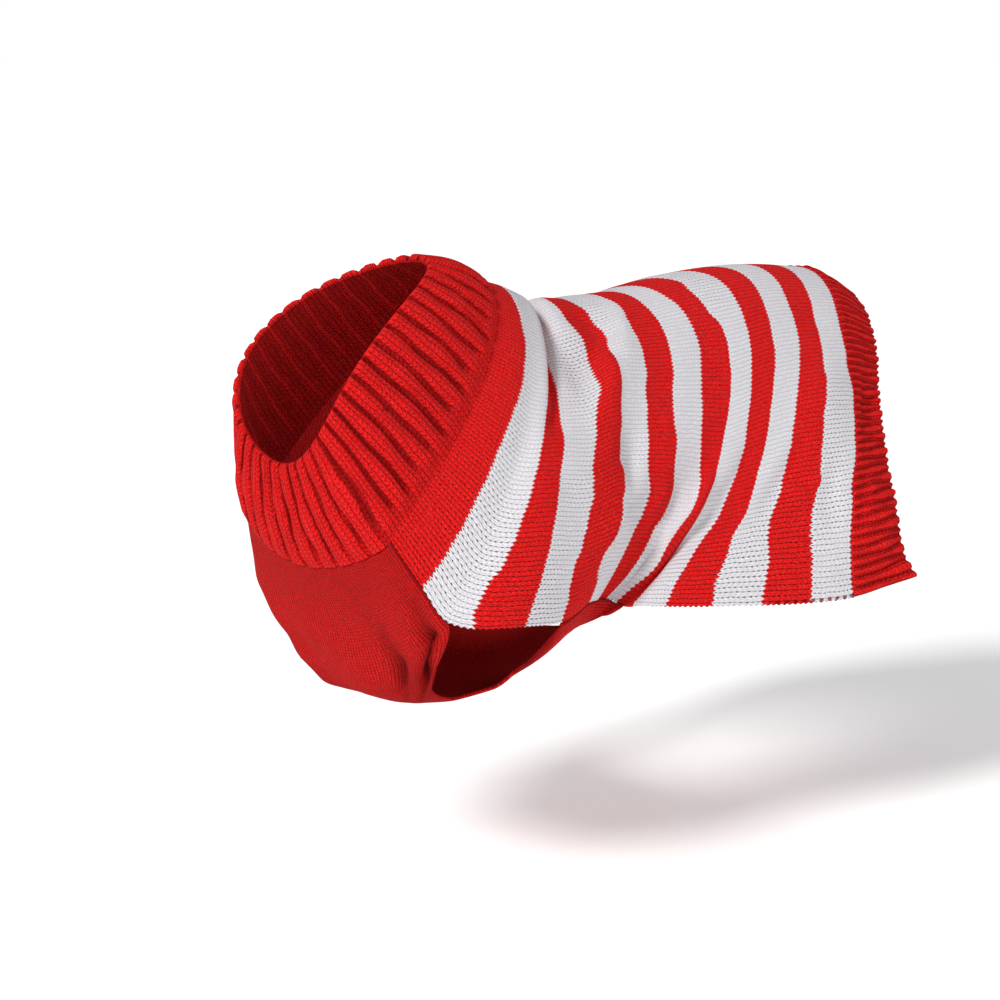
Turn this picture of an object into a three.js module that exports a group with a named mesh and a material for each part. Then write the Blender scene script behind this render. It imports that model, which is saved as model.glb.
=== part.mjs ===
// A striped knitted dog sweater in its worn, hollow form.
// Millimetres, +Z up. The neck is toward -Y, the tail toward +Y, and the wearer's left side is +X.
// The origin is where the middle of the wearer's back carries the cloth.
//
// Every piece is a wall between two grids of points. The outer grid is the side that shows, with
// its ribs raised, and the inner grid is plain and lies one wall thickness further in.
import * as THREE from 'three';

// Cloth sizes
const wallThickness = 2.4;
const chestThickness = 2.0;
const seamGap = 0.5;
const chestSeamGap = 0.8;
const stripeLength = 22;
const halfRound = 215;

// The collar and the band at the tail end
const collarRibs = 40;
const collarRibHeight = 2.6;
const collarRibSunk = 0.35;
const hemRibs = 88;
const hemRibHeight = 1.2;

// Stripe numbers count along the back: 0 is the collar seam, 1 the end of the plain yoke, and each
// stripe after it adds 1. The ribbed band starts at 14.
const yokeStart = 0;
const bandStart = 14;
const bandEnd = 15.7;

// The rows of a table, each with its values under the column names.
const table = (columns, rows) => rows.map(
  (row) => Object.fromEntries(columns.map((name, i) => [name, row[i]])),
);

// Cuts across the back piece, one row for each. The cloth leaves the spine level, reaches out by
// crown, comes down the flank and ends at the edge, where tuck is its angle inward from upright.
const backColumns = [
  'stripe', 'spineY', 'spineZ', 'flankY', 'edgeX', 'edgeY', 'edgeZ', 'crown', 'flank', 'tuck',
];
const backRows = table(backColumns, [
  [0, -117, 11, -164, 54, -219, -98, 34, 58, 8],
  [1, -105, 8, -154, 64, -208, -121, 34, 68, 14],
  [1.5, -94, 4, -152, 71, -200, -136, 34, 71, 13],
  [2, -86, 2, -149, 79, -188, -140, 34, 74, 12],
  [3, -79, 0, -137, 85, -163, -142, 30, 74, 10],
  [4, -73, -1, -115, 82, -136, -145, 26, 76, 14],
  [5, -60, 0, -90, 74, -110, -141, 33, 76, 20],
  [6, -34, -2, -66, 70, -101, -142, 39, 77, 21],
  [6.5, -26, -2, -52, 68, -97, -142, 41, 78, 22],
  [8, -2, 1, -13, 68, -89, -144, 43, 84, 18],
  [9, 22, 4, 13, 78, -85, -145, 44, 84, 8],
  [11, 67, 6, 12, 96, -42, -150, 46, 80, 0],
  [14, 130, 1, 34, 112, 46, -157, 47, 76, -4],
  [15.7, 163, -14, 60, 114, 90, -152, 45, 70, -6],
]);

// Folds, one row for each. Across runs from -1 at the right edge to 1 at the left edge, 0 at the spine.
// A fold runs from one place to another, and height is out from the body, so a trough is negative.
const foldColumns = ['fromStripe', 'fromAcross', 'toStripe', 'toAcross', 'width', 'height'];
const folds = table(foldColumns, [
  [2.8, -0.5, 2.6, 0.45, 13, -16],
  [5.1, 0.05, 3.5, 0.4, 15, -7.5],
  [4.7, 0.26, 4.2, 0.52, 14, 3],
  [5.4, 0.5, 5.3, 0.66, 14, -4],
  [5.4, 0.74, 4.7, 0.84, 13, 3],
  [9.0, 0.62, 7.8, 0.9, 15, 7],
  [9.1, 0.78, 8.1, 0.99, 12, -6],
  [10.9, 0.62, 10.2, 0.8, 15, -3],
  [11.6, 0.7, 12.6, 0.76, 16, -3.5],
  [12.9, 0.42, 13.1, 0.56, 18, 3],
  [14.2, 0.8, 15.7, 0.86, 18, 5],
  [14.4, 0.5, 15.7, 0.54, 20, -4],
  [4.9, -0.06, 3.7, -0.38, 15, -6.5],
  [4.6, -0.3, 4.3, -0.55, 15, 4],
  [8.8, -0.56, 7.6, -0.88, 17, 7],
  [9.0, -0.78, 7.9, -0.99, 12, -6],
  [10.6, -0.5, 10.0, -0.78, 18, -4],
  [12.0, -0.64, 12.8, -0.8, 18, -4],
  [12.4, -0.3, 13.0, -0.48, 18, 4],
  [14.0, -0.72, 15.7, -0.78, 19, 5],
]);

// Slips, one row for each, written as folds are. Height is how far the knit is drawn toward the tail.
const slips = table(foldColumns, [
  [4.0, 0.1, 4.15, 0.48, 18, 14],
  [5.1, 0.04, 5.2, 0.26, 22, 7],
  [8.4, 0.68, 8.1, 0.96, 17, 8],
  [6.7, 0.36, 6.7, 0.56, 20, -5],
  [6.6, 0.64, 6.8, 0.8, 28, 8],
  [7.6, 0.66, 7.3, 1.04, 26, 9],
  [4.6, 0.8, 4.7, 0.94, 16, -8],
  [7.6, 0.1, 8.4, 0.36, 24, 4],
  [10.8, 0.3, 12.8, 0.38, 22, 4],
  [10.8, 0.76, 10.6, 1.0, 22, -7],
  [14.0, 0.4, 14.0, 0.76, 16, 5],
  [4.0, -0.1, 4.15, -0.5, 18, 11],
  [6.8, -0.6, 6.8, -0.8, 20, 5],
  [7.5, -0.66, 7.3, -1.04, 26, 9],
  [4.6, -0.8, 4.7, -0.94, 16, -8],
  [10.7, -0.76, 10.5, -1.0, 22, -7],
  [13.8, -0.3, 13.8, -0.6, 20, 5],
]);

// Cuts across the chest piece, from the collar to the end under the belly. The middle is its lowest
// or foremost line. Where seam is given, the edge is sewn to the back piece's edge at that stripe.
// Elsewhere the edge is free round a leg, and lean is its angle inward from upright.
const free = undefined;
const chestColumns = [
  'place', 'middleY', 'middleZ', 'reach', 'side', 'seam', 'edgeX', 'edgeY', 'edgeZ', 'lean',
];
const chestRows = table(chestColumns, [
  [0, -225, -117, 22, 8, 0],
  [1, -208, -143, 21, 14, 0.8],
  [2, -199, -167, 26, 19, 1.5],
  [3, -190, -185, 28, 12, free, 56, -193, -158, 20],
  [4, -179, -190, 26, 10, free, 44, -185, -178, 40],
  [5, -162, -190, 20, 10, free, 40, -166, -186, 70],
  [6, -146, -188, 24, 14, free, 50, -149, -181, 60],
  [7, -130, -185, 36, 24, 4.05],
  [8, -108, -176, 34, 24, 5.5],
  [9, -88, -168, 32, 22, 8.4],
]);

// The collar's opening is a tilted oval. Its sides stand forward and up from the plane through its
// back and front. Between the seam and the opening the collar swells out a little.
const openingBack = { y: -155, z: 24 };
const openingFront = { y: -241, z: -66 };
const openingSides = { halfWidth: 41, forward: 26, up: 7 };
const collarSwell = 3;

// Folds of the chest. Here across runs from -1 at the left edge to 1 at the right edge.
const chestFolds = table(foldColumns, [
  [1.8, -0.84, 3.8, -0.8, 8, -6],
  [1.3, -0.34, 2.9, -0.5, 9, -4],
  [0.6, 0.4, 2.5, -0.24, 12, 3],
  [1.6, 0.86, 3.9, 0.8, 9, -4],
  [1.5, 0.4, 3.2, 0.46, 11, -2],
]);

// A fold fades to this share of its height at its ends, over this share of its length.
const foldEnd = { height: 0.35, length: 0.3 };

// Grid steps. The back's rows lie closer where the cloth is tucked over the spine.
const backRuns = [
  { from: 0, to: 1.6, steps: 4 },
  { from: 1.6, to: 3.8, steps: 8 },
  { from: 3.8, to: 14, steps: 24 },
];
const backSteps = { across: 46 };
const chestSteps = { along: 24, across: 22 };
const collarSteps = { along: 6, perRib: 4 };
const hemSteps = { along: 3, perRib: 2 };

// Finishes
const redWool = { color: 0xc4161c, roughness: 0.95, metalness: 0 };
const whiteWool = { color: 0xece8ea, roughness: 0.95, metalness: 0 };

// A smooth value between the rows of a table, which never overshoots them.
function between(rows, key, column, at) {
  const last = rows.length - 1;
  const place = Math.min(Math.max(at, rows[0][key]), rows[last][key]);
  let i = 0;
  while (i < last - 1 && rows[i + 1][key] < place) i += 1;
  const steepness = (k) => (rows[k + 1][column] - rows[k][column]) / (rows[k + 1][key] - rows[k][key]);
  const slope = (k) => {
    if (k === 0) return steepness(0);
    if (k === last) return steepness(last - 1);
    const before = steepness(k - 1);
    const after = steepness(k);
    return before * after <= 0 ? 0 : (2 * before * after) / (before + after);
  };
  const run = rows[i + 1][key] - rows[i][key];
  const t = (place - rows[i][key]) / run;
  const t2 = t * t;
  const t3 = t2 * t;
  return (2 * t3 - 3 * t2 + 1) * rows[i][column] + (t3 - 2 * t2 + t) * run * slope(i)
    + (3 * t2 - 2 * t3) * rows[i + 1][column] + (t3 - t2) * run * slope(i + 1);
}

// A curve as a function of the share of its length.
const curveSamples = 120;
function evenPoints(curve) {
  const count = curveSamples;
  const points = curve.getSpacedPoints(count);
  return (share) => {
    const place = Math.min(Math.max(share, 0), 1) * count;
    const i = Math.min(Math.floor(place), count - 1);
    return points[i].clone().lerp(points[i + 1], place - i);
  };
}

// The left half of one cut across the back, from the spine to the edge, by its number.
const cutStep = 0.05;
const backCuts = new Map();
function backCut(number) {
  if (!backCuts.has(number)) {
    const value = (column) => between(backRows, 'stripe', column, number * cutStep);
    const tuck = THREE.MathUtils.degToRad(value('tuck'));
    const spine = new THREE.Vector3(0, value('spineY'), value('spineZ'));
    const crown = new THREE.Vector3(value('crown'), value('spineY'), value('spineZ'));
    const edge = new THREE.Vector3(value('edgeX'), value('edgeY'), value('edgeZ'));
    const flank = new THREE.Vector3(
      edge.x + value('flank') * Math.sin(tuck),
      value('flankY'),
      edge.z + value('flank') * Math.cos(tuck),
    );
    backCuts.set(number, evenPoints(new THREE.CubicBezierCurve3(spine, crown, flank, edge)));
  }
  return backCuts.get(number);
}

// The sum of some folds' heights at a place. Sizes are the cloth's for one step along and across.
const backSizes = { along: stripeLength, across: halfRound };
const chestSizes = { along: 12, across: 75 };
function heightAt(rows, sizes, place, across) {
  let height = 0;
  for (const fold of rows) {
    const startX = fold.fromStripe * sizes.along;
    const startY = fold.fromAcross * sizes.across;
    const runX = fold.toStripe * sizes.along - startX;
    const runY = fold.toAcross * sizes.across - startY;
    const awayX = place * sizes.along - startX;
    const awayY = across * sizes.across - startY;
    const along = THREE.MathUtils.clamp((awayX * runX + awayY * runY) / (runX ** 2 + runY ** 2), 0, 1);
    const distance = Math.hypot(awayX - along * runX, awayY - along * runY);
    const full = THREE.MathUtils.smoothstep(Math.min(along, 1 - along), 0, foldEnd.length);
    const fade = THREE.MathUtils.lerp(foldEnd.height, 1, full);
    height += fold.height * fade * Math.exp(-((distance / fold.width) ** 2));
  }
  return height;
}

// A place on the back before its folds, read between two cuts that lie one step apart.
function smoothBack(stripe, across) {
  const drawn = stripe + heightAt(slips, backSizes, stripe, across) / stripeLength;
  const place = THREE.MathUtils.clamp(drawn, yokeStart, bandEnd) / cutStep;
  const i = Math.min(Math.floor(place), Math.round(bandEnd / cutStep) - 1);
  const share = Math.abs(across);
  const point = backCut(i)(share).lerp(backCut(i + 1)(share), place - i);
  if (across < 0) point.x *= -1;
  return point;
}

// Outward direction of a surface at a place, from its steps along and across.
function outward(surface, along, across, step) {
  const alongStep = surface(along + step.along, across).sub(surface(along - step.along, across));
  const acrossStep = surface(along, across + step.across).sub(surface(along, across - step.across));
  return acrossStep.cross(alongStep).normalize();
}

// A place on the back with its folds. Past either edge the cloth is carried on in a straight line,
// so that directions can be measured at the edges.
const backStep = { along: 0.04, across: 0.012 };
function foldedBack(stripe, across) {
  const s = THREE.MathUtils.clamp(stripe, backStep.along, bandEnd - backStep.along);
  const a = THREE.MathUtils.clamp(across, -1 + backStep.across, 1 - backStep.across);
  const direction = outward(smoothBack, s, a, backStep);
  const height = heightAt(folds, backSizes, stripe, across);
  return smoothBack(stripe, across).addScaledVector(direction, height);
}

function backPlace(stripe, across) {
  const s = THREE.MathUtils.clamp(stripe, 2 * backStep.along, bandEnd - 2 * backStep.along);
  const a = THREE.MathUtils.clamp(across, -1 + 2 * backStep.across, 1 - 2 * backStep.across);
  return { point: foldedBack(stripe, across), direction: outward(foldedBack, s, a, backStep) };
}

// The direction in which the back piece comes down to its edge.
const nearEdge = 0.96;
function backEdgeRun(stripe, side) {
  return foldedBack(stripe, side).sub(foldedBack(stripe, side * nearEdge)).normalize();
}

// The four control points of one cut across the chest, left half.
function chestControls(row) {
  const middle = new THREE.Vector3(0, row.middleY, row.middleZ);
  const reach = new THREE.Vector3(row.reach, row.middleY, row.middleZ);
  let edge;
  let run;
  if (row.seam === undefined) {
    const lean = THREE.MathUtils.degToRad(row.lean);
    edge = new THREE.Vector3(row.edgeX, row.edgeY, row.edgeZ);
    run = new THREE.Vector3(-Math.sin(lean), 0, -Math.cos(lean));
  } else {
    edge = foldedBack(row.seam, 1);
    run = backEdgeRun(row.seam, 1);
  }
  return { middle, reach, side: edge.clone().addScaledVector(run, row.side), edge };
}

const chestControlRows = chestRows.map((row) => {
  const flat = { place: row.place };
  for (const [name, point] of Object.entries(chestControls(row))) {
    flat[`${name}X`] = point.x;
    flat[`${name}Y`] = point.y;
    flat[`${name}Z`] = point.z;
  }
  return flat;
});

// The stripe to which a place on the chest's edge is sewn, or null where the edge is free.
function seamStripe(place) {
  const after = chestRows.findIndex((row) => row.place >= place);
  const next = chestRows[Math.max(after, 1)];
  const before = chestRows[Math.max(after, 1) - 1];
  if (before.seam === undefined || next.seam === undefined) return null;
  return THREE.MathUtils.mapLinear(place, before.place, next.place, before.seam, next.seam);
}

const chestStep = { along: 0.05, across: 0.02 };
const chestCuts = new Map();
function smoothChest(place, across) {
  if (!chestCuts.has(place)) {
    const read = (name) => new THREE.Vector3(
      ...['X', 'Y', 'Z'].map((axis) => between(chestControlRows, 'place', name + axis, place)),
    );
    const stripe = seamStripe(place);
    const edge = stripe === null ? read('edge') : foldedBack(stripe, 1);
    const curve = new THREE.CubicBezierCurve3(read('middle'), read('reach'), read('side'), edge);
    chestCuts.set(place, evenPoints(curve));
  }
  const point = chestCuts.get(place)(Math.abs(across));
  if (across < 0) point.x *= -1;
  return point;
}

function foldedChest(place, across) {
  const lastPlace = chestRows[chestRows.length - 1].place;
  const p = THREE.MathUtils.clamp(place, chestStep.along, lastPlace - chestStep.along);
  const a = THREE.MathUtils.clamp(across, -1 + chestStep.across, 1 - chestStep.across);
  const direction = outward(smoothChest, p, a, chestStep).negate();
  const height = heightAt(chestFolds, chestSizes, place, -across);
  return smoothChest(place, across).addScaledVector(direction, height);
}

// A place on the chest. The grid's columns run from the left edge, 1, to the right edge, -1, so that
// its outward side faces down and forward.
function chestPlace(place, across) {
  const edge = Math.abs(across) === 1;
  const stripe = edge ? seamStripe(place) : null;
  if (stripe !== null) {
    const side = Math.sign(across);
    const { point, direction } = backPlace(stripe, side);
    return { point: point.addScaledVector(backEdgeRun(stripe, side), chestSeamGap), direction };
  }
  const lastPlace = chestRows[chestRows.length - 1].place;
  const p = THREE.MathUtils.clamp(place, 2 * chestStep.along, lastPlace - 2 * chestStep.along);
  const a = THREE.MathUtils.clamp(across, -1 + 2 * chestStep.across, 1 - 2 * chestStep.across);
  return { point: foldedChest(place, across), direction: outward(foldedChest, p, a, chestStep).negate() };
}

// The collar's seam, as even places round its ring. Round runs from 0 at the spine, over the left
// side, to 0.5 at the middle of the chest, and on to 1.
const backShare = (() => {
  const length = (place) => {
    let sum = 0;
    for (let i = 0; i < curveSamples; i += 1) {
      sum += place(i / curveSamples).distanceTo(place((i + 1) / curveSamples));
    }
    return sum;
  };
  const back = length((share) => smoothBack(yokeStart, share));
  const chest = length((share) => smoothChest(0, share));
  return back / (back + chest);
})();

const insideEdge = 0.999;
function collarSeam(round) {
  const side = round <= 0.5 ? 1 : -1;
  const half = 2 * (side === 1 ? round : 1 - round);
  if (half <= backShare) return backPlace(yokeStart, side * (half / backShare));
  return chestPlace(0, side * ((1 - half) / (1 - backShare)) * insideEdge);
}

function collarOpening(round) {
  const turn = 2 * Math.PI * round;
  const towardBack = 0.5 + 0.5 * Math.cos(turn);
  const towardSide = Math.sin(turn) ** 2;
  return new THREE.Vector3(
    openingSides.halfWidth * Math.sin(turn),
    THREE.MathUtils.lerp(openingFront.y, openingBack.y, towardBack) - openingSides.forward * towardSide,
    THREE.MathUtils.lerp(openingFront.z, openingBack.z, towardBack) + openingSides.up * towardSide,
  );
}

// A place on the collar, from 0 at the opening to 1 at the seam.
function smoothCollar(down, round) {
  const wrapped = (round + 1) % 1;
  const seam = collarSeam(wrapped);
  const start = collarOpening(wrapped);
  const point = start.clone().lerp(seam.point, down);
  return point.addScaledVector(seam.direction, collarSwell * Math.sin(Math.PI * down));
}

const collarStep = { along: 0.04, across: 0.006 };
function collarPlace(down, round) {
  const seam = collarSeam(round);
  const inset = THREE.MathUtils.clamp(down, collarStep.along, 1 - collarStep.along);
  const own = outward(smoothCollar, inset, round, collarStep);
  if (down < 1) {
    return { point: smoothCollar(down, round), direction: own.lerp(seam.direction, down ** 4).normalize() };
  }
  const up = collarOpening(round).sub(seam.point).normalize();
  return { point: seam.point.clone().addScaledVector(up, seamGap), direction: seam.direction };
}

// Heights of a rib across its width, from the valley on one side to the valley on the other.
const ribWave = (place) => 0.5 - 0.5 * Math.cos(2 * Math.PI * place);

// Two grids of points as a closed wall. A ring's last column is its first one again.
function wall(name, outer, inner, finish, ring = false) {
  const rows = outer.length;
  const columns = outer[0].length;
  const positions = [...outer.flat(), ...inner.flat()].flatMap((point) => point.toArray());
  const out = (i, j) => i * columns + (j % columns);
  const inn = (i, j) => rows * columns + out(i, j);
  const faces = [];
  const quad = (a, b, c, d) => faces.push(a, b, c, a, c, d);
  const lastColumn = ring ? columns : columns - 1;
  for (let i = 0; i < rows - 1; i += 1) {
    for (let j = 0; j < lastColumn; j += 1) {
      quad(out(i, j), out(i, j + 1), out(i + 1, j + 1), out(i + 1, j));
      quad(inn(i, j), inn(i + 1, j), inn(i + 1, j + 1), inn(i, j + 1));
    }
    if (!ring) {
      quad(out(i, 0), out(i + 1, 0), inn(i + 1, 0), inn(i, 0));
      quad(out(i + 1, columns - 1), out(i, columns - 1), inn(i, columns - 1), inn(i + 1, columns - 1));
    }
  }
  for (let j = 0; j < lastColumn; j += 1) {
    quad(out(0, j + 1), out(0, j), inn(0, j), inn(0, j + 1));
    quad(out(rows - 1, j), out(rows - 1, j + 1), inn(rows - 1, j + 1), inn(rows - 1, j));
  }
  const geometry = new THREE.BufferGeometry();
  geometry.setAttribute('position', new THREE.Float32BufferAttribute(positions, 3));
  geometry.setIndex(faces);
  geometry.computeVertexNormals();
  const mesh = new THREE.Mesh(geometry, new THREE.MeshStandardMaterial(finish));
  mesh.name = name;
  return mesh;
}

// The outer and inner grids of a piece, from its places and the height of its ribs.
function grids(alongValues, acrossValues, place, thickness, ribHeight = () => 0) {
  const outer = [];
  const inner = [];
  for (const along of alongValues) {
    const outerRow = [];
    const innerRow = [];
    for (const across of acrossValues) {
      const { point, direction } = place(along, across);
      outerRow.push(point.clone().addScaledVector(direction, ribHeight(along, across)));
      innerRow.push(point.clone().addScaledVector(direction, -thickness));
    }
    outer.push(outerRow);
    inner.push(innerRow);
  }
  return [outer, inner];
}

const evenly = (from, to, steps) => Array.from(
  { length: steps + 1 },
  (_, i) => from + ((to - from) * i) / steps,
);

function backPanel() {
  const along = [yokeStart, ...backRuns.flatMap(({ from, to, steps }) => evenly(from, to, steps).slice(1))];
  const across = evenly(-1, 1, backSteps.across);
  return wall('back_panel', ...grids(along, across, backPlace, wallThickness), whiteWool);
}

function chestPanel() {
  const lastPlace = chestRows[chestRows.length - 1].place;
  const along = evenly(0, lastPlace, chestSteps.along);
  const across = evenly(1, -1, chestSteps.across);
  return wall('chest_panel', ...grids(along, across, chestPlace, chestThickness), redWool);
}

function neckRib() {
  const down = evenly(0, 1, collarSteps.along);
  const round = evenly(0, 1, collarRibs * collarSteps.perRib).slice(0, -1);
  const height = (_, place) => collarRibHeight * (ribWave(place * collarRibs) - collarRibSunk);
  return wall('neck_rib', ...grids(down, round, collarPlace, wallThickness, height), redWool, true);
}

function hemRib() {
  const along = evenly(bandStart + seamGap / stripeLength, bandEnd, hemSteps.along);
  const across = evenly(-1, 1, hemRibs * hemSteps.perRib);
  const height = (_, place) => hemRibHeight * ribWave(((place + 1) / 2) * hemRibs);
  return wall('hem_rib', ...grids(along, across, backPlace, wallThickness, height), redWool);
}

const sweater = new THREE.Group();
sweater.add(backPanel(), chestPanel(), neckRib(), hemRib());

export default sweater;
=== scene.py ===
import math

import bpy
import numpy as np
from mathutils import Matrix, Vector


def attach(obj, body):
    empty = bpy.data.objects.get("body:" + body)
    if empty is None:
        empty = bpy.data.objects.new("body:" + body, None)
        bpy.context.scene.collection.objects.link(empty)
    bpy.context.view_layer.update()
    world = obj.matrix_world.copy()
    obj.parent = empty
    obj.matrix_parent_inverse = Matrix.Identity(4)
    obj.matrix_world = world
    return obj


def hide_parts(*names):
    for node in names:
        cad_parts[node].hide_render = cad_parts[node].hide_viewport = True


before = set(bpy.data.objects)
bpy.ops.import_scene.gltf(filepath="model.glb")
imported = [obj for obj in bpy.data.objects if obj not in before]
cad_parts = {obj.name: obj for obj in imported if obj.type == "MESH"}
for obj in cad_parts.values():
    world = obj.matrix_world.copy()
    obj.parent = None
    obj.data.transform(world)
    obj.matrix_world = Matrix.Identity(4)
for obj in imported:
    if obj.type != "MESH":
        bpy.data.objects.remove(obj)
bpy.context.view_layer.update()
print("frame loaded:", sorted(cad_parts))

mm = 0.001

# Camera
cameraLook = {
    "azimuth": 47,  # degrees: at 0 it looks along +Y, at 90 along -X
    "elevation": 11,
    "focal": 2400,  # in pixels of the picture
    "pictureWidth": 1000,
    "sensor": 36,
    "clipStart": 0.01,
    "fromOrigin": (-73.7, -113.2, 1263),  # to the right, up and back, in millimetres
}


def lookDirections(look):
    turn = math.radians(look["azimuth"])
    rise = math.radians(look["elevation"])
    right = Vector((math.cos(turn), math.sin(turn), 0))
    up = Vector((-math.sin(rise) * math.sin(turn), math.sin(rise) * math.cos(turn), math.cos(rise)))
    back = Vector((math.sin(turn) * math.cos(rise), -math.cos(turn) * math.cos(rise), math.sin(rise)))
    return right, up, back


def addCamera(look):
    right, up, back = lookDirections(look)
    toRight, toTop, away = look["fromOrigin"]
    bpy.ops.object.camera_add(location=(right * toRight + up * toTop + back * away) * mm)
    camera = bpy.context.object
    camera.name = "photoCamera"
    camera.rotation_mode = "QUATERNION"
    camera.rotation_quaternion = (-back).to_track_quat("-Z", "Y")
    camera.data.sensor_width = look["sensor"]
    camera.data.lens = look["focal"] * look["sensor"] / look["pictureWidth"]
    camera.data.clip_start = look["clipStart"]
    bpy.context.scene.camera = camera


addCamera(cameraLook)
print("camera placed")


# Cloth sizes, as in the solids
cloth = {
    "wall": 2.4,
    "chestWall": 2.0,
    "stripe": 22,  # length of one stripe along the body
    "halfRound": 215,  # from the spine to an edge
    "bandStart": 14,  # where the hem band starts and ends, in stripes
    "bandEnd": 15.7,
    "rowsPerStripe": 9,
    "waleWidth": 2.6,
    "fieldLines": (400, 401),  # along and across, in the grid that the pieces read
    "justInside": 0.96,  # a share across beside the edge, which shows the edge's direction
    "creaseFade": (0.05, 0.6),  # where small creases fade, across to the edge and along to the band
    "foldEnds": (0.35, 0.3),  # what is left of a fold at its ends, and over what share it fades
}


def table(columns, rows):
    return {name: np.array(values, float) for name, values in zip(columns, zip(*rows))}


# Cuts across the back piece, from the collar seam to the tail end.
backRows = table(
    ("stripe", "spineY", "spineZ", "flankY", "edgeX", "edgeY", "edgeZ", "crown", "flank", "tuck"),
    [
        (0, -117, 11, -164, 54, -219, -98, 34, 58, 8),
        (1, -105, 8, -154, 64, -208, -121, 34, 68, 14),
        (1.5, -94, 4, -152, 71, -200, -136, 34, 71, 13),
        (2, -86, 2, -149, 79, -188, -140, 34, 74, 12),
        (3, -79, 0, -137, 85, -163, -142, 30, 74, 10),
        (4, -73, -1, -115, 82, -136, -145, 26, 76, 14),
        (5, -60, 0, -90, 74, -110, -141, 33, 76, 20),
        (6, -34, -2, -66, 70, -101, -142, 39, 77, 21),
        (6.5, -26, -2, -52, 68, -97, -142, 41, 78, 22),
        (8, -2, 1, -13, 68, -89, -144, 43, 84, 18),
        (9, 22, 4, 13, 78, -85, -145, 44, 84, 8),
        (11, 67, 6, 12, 96, -42, -150, 46, 80, 0),
        (14, 130, 1, 34, 112, 46, -157, 47, 76, -4),
        (15.7, 163, -14, 60, 114, 90, -152, 45, 70, -6),
    ],
)

# Folds of the back piece. Each row is where it starts, by stripe and by share across from the spine,
# where it ends in the same way, its width and its height.
folds = [
    (2.8, -0.5, 2.6, 0.45, 13, -16),
    (5.1, 0.05, 3.5, 0.4, 15, -7.5),
    (4.7, 0.26, 4.2, 0.52, 14, 3),
    (5.4, 0.5, 5.3, 0.66, 14, -4),
    (5.4, 0.74, 4.7, 0.84, 13, 3),
    (9.0, 0.62, 7.8, 0.9, 15, 7),
    (9.1, 0.78, 8.1, 0.99, 12, -6),
    (10.9, 0.62, 10.2, 0.8, 15, -3),
    (11.6, 0.7, 12.6, 0.76, 16, -3.5),
    (12.9, 0.42, 13.1, 0.56, 18, 3),
    (14.2, 0.8, 15.7, 0.86, 18, 5),
    (14.4, 0.5, 15.7, 0.54, 20, -4),
    (4.9, -0.06, 3.7, -0.38, 15, -6.5),
    (4.6, -0.3, 4.3, -0.55, 15, 4),
    (8.8, -0.56, 7.6, -0.88, 17, 7),
    (9.0, -0.78, 7.9, -0.99, 12, -6),
    (10.6, -0.5, 10.0, -0.78, 18, -4),
    (12.0, -0.64, 12.8, -0.8, 18, -4),
    (12.4, -0.3, 13.0, -0.48, 18, 4),
    (14.0, -0.72, 15.7, -0.78, 19, 5),
]

# Small creases that only the visual has, written the same way.
creases = [
    (3.3, 0.12, 3.6, 0.3, 8, -2.2),
    (4.9, 0.17, 5.0, 0.3, 9, -2),
    (5.6, 0.2, 5.4, 0.32, 8, 1.5),
    (5.5, 0.56, 5.4, 0.7, 6, -1.6),
    (6.2, 0.66, 5.2, 0.86, 7, -1.6),
    (7.3, 0.62, 6.5, 0.88, 7, -1.8),
    (8.3, 0.42, 7.9, 0.6, 8, 1.3),
    (8.9, 0.72, 8.2, 0.92, 4.5, -2.4),
    (10.3, 0.55, 9.4, 0.82, 7, -1.6),
    (12.3, 0.62, 11.3, 0.76, 6, -2),
    (12.5, 0.72, 12.0, 0.8, 5, 1.6),
    (13.3, 0.66, 13.5, 0.84, 7, -1.6),
    (12.2, 0.2, 13.4, 0.3, 9, -1.2),
    (2.4, 0.55, 3.6, 0.7, 9, -1.4),
    (3.4, -0.14, 3.7, -0.34, 8, -2),
    (5.2, -0.24, 5.0, -0.42, 8, -1.6),
    (6.4, -0.6, 5.4, -0.86, 7, -1.7),
    (7.6, -0.5, 6.8, -0.8, 7, -1.6),
    (8.8, -0.7, 8.0, -0.92, 5, -2.2),
    (10.6, -0.58, 9.6, -0.84, 7, -1.6),
    (12.4, -0.5, 11.6, -0.74, 7, -1.8),
    (13.2, -0.7, 13.6, -0.86, 7, -1.5),
]

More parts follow.
